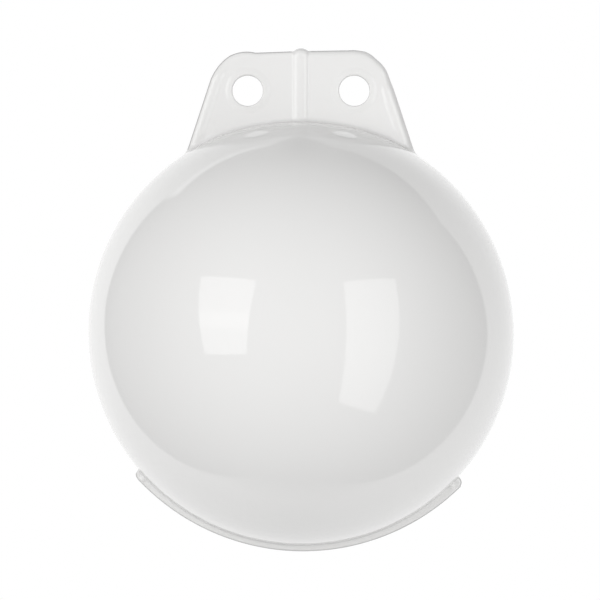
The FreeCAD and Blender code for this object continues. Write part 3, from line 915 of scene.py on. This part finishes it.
buoy = grown("buoy", buoy_tree(white_plastic()), SIZES)
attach(buoy, "root")
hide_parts("buoy_body")

# The stage

scene = bpy.context.scene
scene.view_settings.view_transform = "Standard"

camera = bpy.data.objects.new("camera", bpy.data.cameras.new("camera"))
scene.collection.objects.link(camera)
camera.data.sensor_width = SENSOR_WIDTH
camera.data.lens = SENSOR_WIDTH * CAMERA_DISTANCE / FRAME_WIDTH
camera.location = (CAMERA_X, -CAMERA_DISTANCE, CAMERA_Z)
camera.rotation_euler = (math.pi / 2, 0.0, 0.0)
scene.camera = camera


def softbox(name, place, facing, up, width, height, brightness):
    """A softbox at a place measured from the ball's centre; a brightness of 1 looks white."""
    light = bpy.data.lights.new(name, "AREA")
    light.shape = "RECTANGLE"
    light.size = width
    light.size_y = height
    light.energy = math.pi * width * height * brightness
    away = Vector(facing).normalized()
    across = Vector(up).cross(away).normalized()
    box = bpy.data.objects.new(name, light)
    box.matrix_world = Matrix((across, away.cross(across), away)).transposed().to_4x4()
    box.location = Vector(place) - Vector((0.0, 0.0, EYE_Z * MM))
    scene.collection.objects.link(box)


def window(name, towards, brightness):
    """Soft daylight from one side. It shows in no reflection."""
    light = bpy.data.lights.new(name, "SUN")
    light.energy = math.pi * brightness
    light.angle = WINDOW_SPREAD
    pane = bpy.data.objects.new(name, light)
    pane.rotation_euler = Vector(towards).to_track_quat("Z", "Y").to_euler()
    pane.visible_glossy = False
    scene.collection.objects.link(pane)


softbox("left_softbox", place=(-0.971, -1.124, 0.142), facing=LEFT_FACING, up=LEFT_UP,
        width=0.723, height=1.078, brightness=1.85)
softbox("left_tube", place=(-0.952, -1.098, 0.157), facing=LEFT_FACING, up=LEFT_UP,
        width=0.7, height=0.22, brightness=0.6)
softbox("right_softbox", place=(0.881, -1.204, -0.294), facing=RIGHT_FACING, up=RIGHT_UP,
        width=0.74, height=1.946, brightness=1.65)
window("front_window", (0.0, -1.0, 0.0), 0.21)
window("upper_left_window", (-0.5, -0.7, 0.5), 0.126)


def glow(x, y, z, towards, tightness):
    """A glow that is 1 towards one direction and fades away from it."""
    facing = x * towards[0] + y * towards[1] + z * towards[2]
    return power(greater(facing, 0.0), tightness)


def room_light(x, y, z):
    """How bright the room is in a direction: the white sweep, the haze over it, and the dim sides."""
    middle, low, high = (y * for_y + z * for_z for for_y, for_z in SWEEP_LEFT)
    left = x + greater(greater(middle, low), high)
    right = y * SWEEP_RIGHT[0] + abs(z) * SWEEP_RIGHT[1] - x
    flat_top = y * SWEEP_TOP[0] + x * SWEEP_TOP[1]
    peaked_top = y * SWEEP_TOP_MIDDLE[0] + abs(x) * SWEEP_TOP_MIDDLE[1]
    top = lesser(flat_top, peaked_top) - z
    back = soft_step(y - SWEEP_FRONT, SWEEP_FRONT_FADE)
    sweep = soft_step(lesser(lesser(left, right), top), SWEEP_EDGE_FADE) * back

    spot = glow(x, y, z, *SPOT) * SPOT_BRIGHTNESS
    hem = clamped(top * HEM_RISE) * clamped(1.0 - top * HEM_DROP) * clamped(x * -HEM_TO_LEFT)
    fall = clamped((z - y * FALL_SLOPE) * FALL_RATE) * FALL_LOSS
    haze = clamped(1.0 + top * HAZE_FADE) * clamped(1.0 - abs(x) * HAZE_NARROWING) * back

    on_sweep = SWEEP_BRIGHTNESS + spot + hem * HEM_BRIGHTNESS - fall
    light = sweep * on_sweep + haze * (1.0 - sweep) * HAZE_BRIGHTNESS
    for towards, tightness, brightness in GLOWS:
        light = light + glow(x, y, z, towards, tightness) * brightness
    return light


def room():
    """The room round the buoy. Its light is what the gloss shows, and the camera sees white everywhere."""
    global tree
    world = bpy.data.worlds.new("room")
    scene.world = world
    world.use_nodes = True
    tree = world.node_tree
    light = room_light(*separated(add("ShaderNodeTexCoord").outputs["Generated"]))
    seen = Number(add("ShaderNodeLightPath").outputs["Is Camera Ray"])
    background = tree.nodes["Background"]
    feed(background.inputs["Strength"], between(light, 1.0, seen))
    feed(background.inputs["Color"], (1.0, 1.0, 1.0, 1.0))


def floor_paint():
    """Plain pale paint, lifted towards white for the camera alone."""
    global tree
    paint = bpy.data.materials.new("floor_paint")
    paint.use_nodes = True
    tree = paint.node_tree
    shader = tree.nodes["Principled BSDF"]
    feed(shader.inputs["Base Color"], (FLOOR_TONE, FLOOR_TONE, FLOOR_TONE, 1.0))
    feed(shader.inputs["Roughness"], FLOOR_ROUGHNESS)
    seen = Number(add("ShaderNodeLightPath").outputs["Is Camera Ray"])
    feed(shader.inputs["Emission Strength"], seen * FLOOR_LIFT)
    return paint


def laid_floor():
    """A floor far below the buoy, out of the photograph's frame. It hides nothing from the gloss."""
    ways = ((-1, -1), (1, -1), (1, 1), (-1, 1))
    mesh = bpy.data.meshes.new("floor")
    mesh.from_pydata([(x * FLOOR_HALF, y * FLOOR_HALF, FLOOR_Z) for x, y in ways], [], [(0, 1, 2, 3)])
    mesh.materials.append(floor_paint())
    floor = bpy.data.objects.new("floor", mesh)
    scene.collection.objects.link(floor)
    floor.visible_glossy = False
    floor.visible_diffuse = False
    floor.visible_shadow = False
    return floor


room()
laid_floor()
